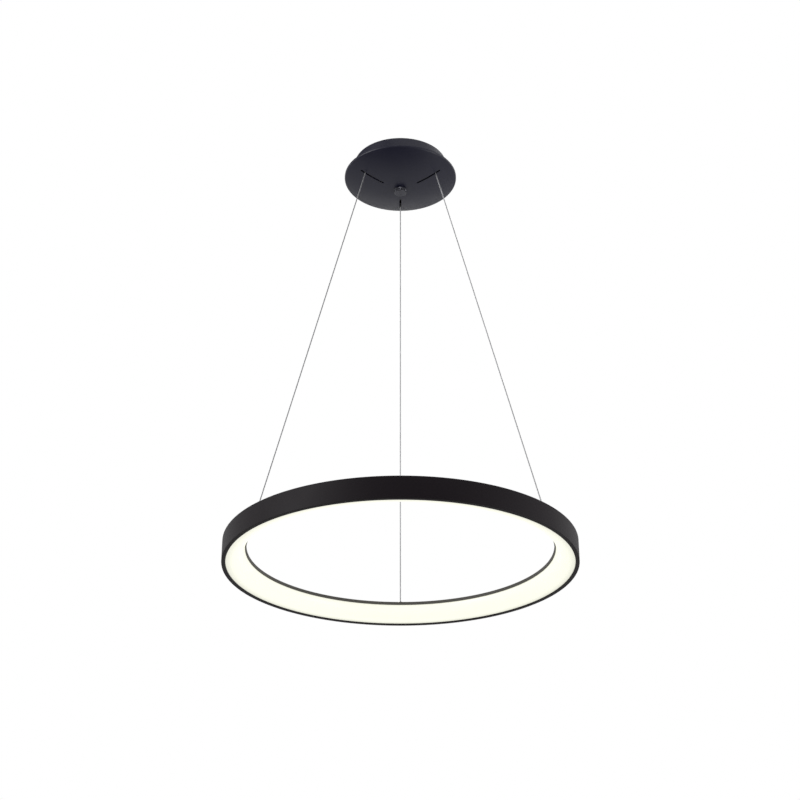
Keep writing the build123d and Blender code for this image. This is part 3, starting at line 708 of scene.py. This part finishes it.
# Painted shade: the glow is turned down over the last stretch before the flange.
flange_shade = finish.ramp(finish.radius(), flange_r - FLANGE_SHADE_WIDTH, flange_r)
milk = finish.noise(MILK)
finishes["opal"] = finish.surface({
    "Base Color": finish.mix(milk, paint(166, 166, 156), paint(172, 172, 162)),
    "Roughness": finish.vary(0.425, 0.05, milk),
    "Emission Color": finish.mix(flange_shade, GLOW, GLOW_IN_FLANGE_SHADE),
    "Emission Strength": 1.0,
})
print("the glow fades from radius", round(flange_r - FLANGE_SHADE_WIDTH, 4), "to", round(flange_r, 4))

# %% [markdown]
# ## Bare metals
# The wires are drawn steel, the screws are zinc plated, the brackets are galvanised sheet, the grippers
# and anchors are nickel plated, and the thumb nut and the plungers have black nickel. They differ in
# colour, in how sharp their reflections are and in the size and direction of their grain.

# %% Metals
METAL_DETAIL = 4.0
METAL_SPREAD = 0.16
RELIEF = 0.01


def metal(name, dark, light, roughness, grain, stretch=(1.0, 1.0, 1.0), bare=1.0):
    """Metal between a dark and a light colour; its marks are a hundredth of their grain deep."""
    finish = new_finish(name)
    marks = finish.noise(grain, METAL_DETAIL, stretch)
    finishes[name] = finish.surface({
        "Base Color": finish.mix(marks, dark, light),
        "Metallic": bare,
        "Roughness": finish.vary(roughness, METAL_SPREAD, marks),
        "Normal": finish.bump(marks, grain * RELIEF),
    })


metal("wire_steel", paint(158, 158, 160), paint(174, 174, 176), roughness=0.5, grain=0.0006,
      stretch=(1.0, 1.0, 0.1), bare=0.6)
metal("zinc_steel", paint(176, 180, 186), paint(204, 205, 202), roughness=0.3, grain=0.004)
metal("bracket_steel", paint(150, 153, 156), paint(188, 190, 192), roughness=0.4, grain=0.006)
metal("nickel_brass", paint(190, 186, 176), paint(206, 202, 194), roughness=0.22, grain=0.002)
metal("black_nickel", paint(80, 80, 86), paint(90, 90, 96), roughness=0.18, grain=0.002)
metal("spring_steel", paint(120, 120, 122), paint(150, 150, 152), roughness=0.3, grain=0.001)
print("with metals:", len(finishes))

# %% [markdown]
# ## Plastics and rubber
# Moulded parts are plain, with a faint mottle and a soft sheen. Nylon is a little waxy, rubber is dull.

# %% Plastics
PLASTIC_DETAIL = 3.0
PLASTIC_SPREAD = 0.1


def plastic(name, dark, light, roughness, grain):
    """Plastic between a dark and a light colour; its mottle is a hundredth of its grain deep."""
    finish = new_finish(name)
    mottle = finish.noise(grain, PLASTIC_DETAIL)
    finishes[name] = finish.surface({
        "Base Color": finish.mix(mottle, dark, light),
        "Roughness": finish.vary(roughness, PLASTIC_SPREAD, mottle),
        "Normal": finish.bump(mottle, grain * RELIEF),
    })


plastic("nylon", paint(214, 212, 202), paint(226, 224, 215), roughness=0.4, grain=0.003)
plastic("black_rubber", paint(26, 26, 27), paint(34, 34, 35), roughness=0.7, grain=0.002)
plastic("driver_white", paint(222, 222, 218), paint(232, 232, 229), roughness=0.45, grain=0.004)
plastic("terminal_white", paint(224, 223, 216), paint(234, 233, 228), roughness=0.4, grain=0.003)
plastic("ferrite_dark", paint(48, 46, 45), paint(62, 60, 58), roughness=0.6, grain=0.0015)
plastic("board_white", paint(228, 228, 226), paint(238, 238, 236), roughness=0.35, grain=0.005)
plastic("reflector_white", paint(236, 236, 234), paint(244, 244, 242), roughness=0.5, grain=0.004)
print("with plastics:", len(finishes))

# %% [markdown]
# ## Parts with a pattern
# Some small parts carry a pattern that tells what they are. The driver's board is green with pale tracks.
# Its capacitors have a pale stripe on their negative side. Each LED is a pale body with a yellow window,
# and the leads have the colours of their wires. Each pattern is a mask worked out from the piece's own
# coordinates.

# %% Driver parts
TRACKS_PER_METRE = 220.0
TRACK_IN = 0.04
TRACK_OUT = 0.08
STRIPE = 0.0015

finish = new_finish("circuit_green")
tracks = finish.node("ShaderNodeTexVoronoi", {"feature": "DISTANCE_TO_EDGE", "distance": "CHEBYCHEV"},
                     {"Vector": finish.place(), "Scale": TRACKS_PER_METRE})
lacquer = finish.ramp(tracks, TRACK_IN, TRACK_OUT)
finishes["circuit_green"] = finish.surface({
    "Base Color": finish.mix(lacquer, paint(120, 160, 92), paint(28, 92, 52)),
    "Roughness": finish.vary(0.4, 0.1, finish.noise(grain=0.004)),
})

finish = new_finish("capacitor_black")
x, y, z = finish.axes()
stripe_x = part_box("driver_capacitors")[0].x + STRIPE
finishes["capacitor_black"] = finish.surface({
    "Base Color": finish.mix(x < stripe_x, paint(30, 30, 34), paint(196, 198, 200)),
    "Roughness": finish.vary(0.4, 0.1, finish.noise(grain=0.003)),
})
print("the capacitors' stripe ends at x =", round(stripe_x, 4))

# %% LEDs
CHIPS_PER_BOARD = 30
BOARD_ANGLE = 90
BOARD_SPAN = 86
CHIP_R = 0.27925
CHIP_PITCH = 0.014
WINDOW_HALF_LENGTH = 0.0012
WINDOW_HALF_WIDTH = 0.0009

finish = new_finish("chip_yellow")
x, y, z = finish.axes()
turn = finish.maths("ARCTAN2", y, x) * (180 / math.pi)
board_turn = finish.maths("FLOORED_MODULO", turn, BOARD_ANGLE)
chip = (board_turn - (BOARD_ANGLE - BOARD_SPAN) / 2) / (BOARD_SPAN / CHIPS_PER_BOARD)
along = finish.maths("ABSOLUTE", finish.maths("FRACT", chip) - 0.5) * CHIP_PITCH
across = finish.maths("ABSOLUTE", finish.radius() - CHIP_R)
window = (along < WINDOW_HALF_LENGTH) * (across < WINDOW_HALF_WIDTH)
finishes["chip_yellow"] = finish.surface({
    "Base Color": finish.mix(window, paint(236, 234, 226), paint(228, 196, 74)),
    "Roughness": finish.vary(0.35, 0.1, finish.noise(grain=0.002)),
})
print("LEDs are", round(BOARD_SPAN / CHIPS_PER_BOARD, 3), "degrees apart")

# %% Leads
EARTH_X = -0.057
SPLIT = -0.024
SPLIT_SLANT = 0.4
STRIPES_PER_METRE = 160

finish = new_finish("lead_insulation")
x, y, z = finish.axes()
live = finish.mix(x + SPLIT_SLANT * y > SPLIT, paint(46, 82, 150), paint(104, 66, 44))
stripes = finish.maths("FRACT", (x + y + z) * STRIPES_PER_METRE)
earth = finish.mix(stripes < 0.5, paint(196, 184, 48), paint(52, 130, 62))
finishes["lead_insulation"] = finish.surface({
    "Base Color": finish.mix(x < EARTH_X, live, earth),
    "Roughness": finish.vary(0.45, 0.1, finish.noise(grain=0.003)),
})
print("finishes:", sorted(finishes))

# %% [markdown]
# ## Dress the pieces
# The record names a material for every solid, and every new piece has one of the same names, so one loop
# can dress them all.

# %% Give out the finishes
groups = {
    "wire_steel": wires,
    "spring_steel": springs,
    "ring_black": [ring],
    "opal": [diffuser],
    "canopy_black": [cover],
    "black_nickel": [nut],
}
dressed = [(frame["nodes"][row["node"]], row["material_slot"]) for row in frame["record"]["subparts"]]
dressed += [(piece, slot) for slot, group in groups.items() for piece in group]
for piece, slot in dressed:
    piece.data.materials.clear()
    piece.data.materials.append(finishes[slot])
print("dressed:", len(dressed))

# %% [markdown]
# ## The studio
# The lamp hangs in front of plain white. The white is what the camera and the reflections see, and the
# light that falls on the lamp from all around is half as strong. Two softboxes stand in front to the left
# and right and a large one hangs above. A black lamp only shows its shape by what it mirrors, so four dark
# cards stand round it, as they would in a studio: behind the camera, behind the lamp, high at the left
# and on the floor. They show in reflections alone and take no light away.

# %% World
AMBIENT = 0.5
WHITE = (1.0, 1.0, 1.0, 1.0)

studio = Finish(bpy.data.worlds.new("studio"))
ray = studio.node("ShaderNodeLightPath").socket.node.outputs
seen = [Value(studio, ray[name]) for name in ("Is Camera Ray", "Is Glossy Ray", "Is Transmission Ray")]
shown = studio.ramp(seen[0] + seen[1] + seen[2], 0.0, 1.0)
strength = AMBIENT + (1 - AMBIENT) * shown
glow = studio.node("ShaderNodeBackground", sockets={"Color": WHITE, "Strength": strength})
studio.node("ShaderNodeOutputWorld", sockets={"Surface": glow})
bpy.context.scene.world = studio.owner
print("light from all around:", AMBIENT)

# %% Floor
FLOOR_Z = -2.4
FLOOR_HALF = 12.0


def sheet(name, corners, faces, finish):
    """A thin board of the studio."""
    mesh = bpy.data.meshes.new(name)
    mesh.from_pydata(corners, [], faces)
    mesh.materials.append(finish)
    board = bpy.data.objects.new(name, mesh)
    bpy.context.scene.collection.objects.link(board)
    return board


def level(left, right, front, back, height):
    """A level rectangle: its four corners and its one face."""
    corners = [(left, front, height), (right, front, height), (right, back, height), (left, back, height)]
    return corners, [(0, 1, 2, 3)]


finish = new_finish("floor_pale")
floor_finish = finish.surface({
    "Base Color": finish.mix(finish.noise(grain=0.4), paint(232, 232, 232), paint(236, 236, 236)),
    "Roughness": 0.8,
})
floor = sheet("floor", *level(-FLOOR_HALF, FLOOR_HALF, -FLOOR_HALF, FLOOR_HALF, FLOOR_Z), floor_finish)
print("floor at", FLOOR_Z)

# %% Cards
CARD_REACH = 3.6
CARD_STEPS = 9
CARD_LIFT = 0.02


def upright(start, end, low, high):
    """Part of a cylinder round the lamp: the point at angle t and height z is (R sin t, -R cos t, z)."""
    turn = np.radians(np.linspace(start, end, CARD_STEPS))
    x, y = CARD_REACH * np.sin(turn), -CARD_REACH * np.cos(turn)
    points = np.stack([np.stack([x, y, 0 * x + z], axis=1) for z in (low, high)])
    return points.reshape(-1, 3).tolist(), grid_quads(2, CARD_STEPS).tolist()


finish = new_finish("card_black")
card_finish = finish.surface({
    "Base Color": finish.mix(finish.noise(grain=0.2), paint(8, 8, 8), paint(10, 10, 10)),
    "Roughness": 0.9,
})
card_z = FLOOR_Z + CARD_LIFT
cards = [
    sheet("front_card", *upright(start=-28, end=80, low=-0.6, high=1.4), card_finish),
    sheet("back_card", *upright(start=150, end=210, low=-0.05, high=0.6), card_finish),
    sheet("upper_card", *upright(start=-140, end=-25, low=1.9, high=4.6), card_finish),
    sheet("floor_card", *level(left=-4.0, right=0.8, front=-2.5, back=1.0, height=card_z), card_finish),
]
for card in cards:
    card.visible_camera = False
    card.visible_diffuse = False
    card.visible_shadow = False
print("cards:", len(cards))

# %% Softboxes
MIDDLE = Vector((0.0, 0.0, -0.45))


def softbox(name, place, size, power):
    """A square lamp that faces the middle of the pendant."""
    lamp = bpy.data.lights.new(name, "AREA")
    lamp.size = size
    lamp.energy = power
    box = bpy.data.objects.new(name, lamp)
    box.location = place
    box.rotation_euler = (MIDDLE - Vector(place)).to_track_quat("-Z", "Y").to_euler()
    bpy.context.scene.collection.objects.link(box)
    return box


left = softbox("left_box", place=(-2.2, -1.3, 0.15), size=1.0, power=30.0)
right = softbox("right_box", place=(2.3, -1.1, -1.1), size=1.0, power=22.0)
top = softbox("top_box", place=(0.3, 0.6, 2.4), size=3.0, power=90.0)
bpy.context.scene.view_settings.view_transform = "Standard"
print("studio ready")
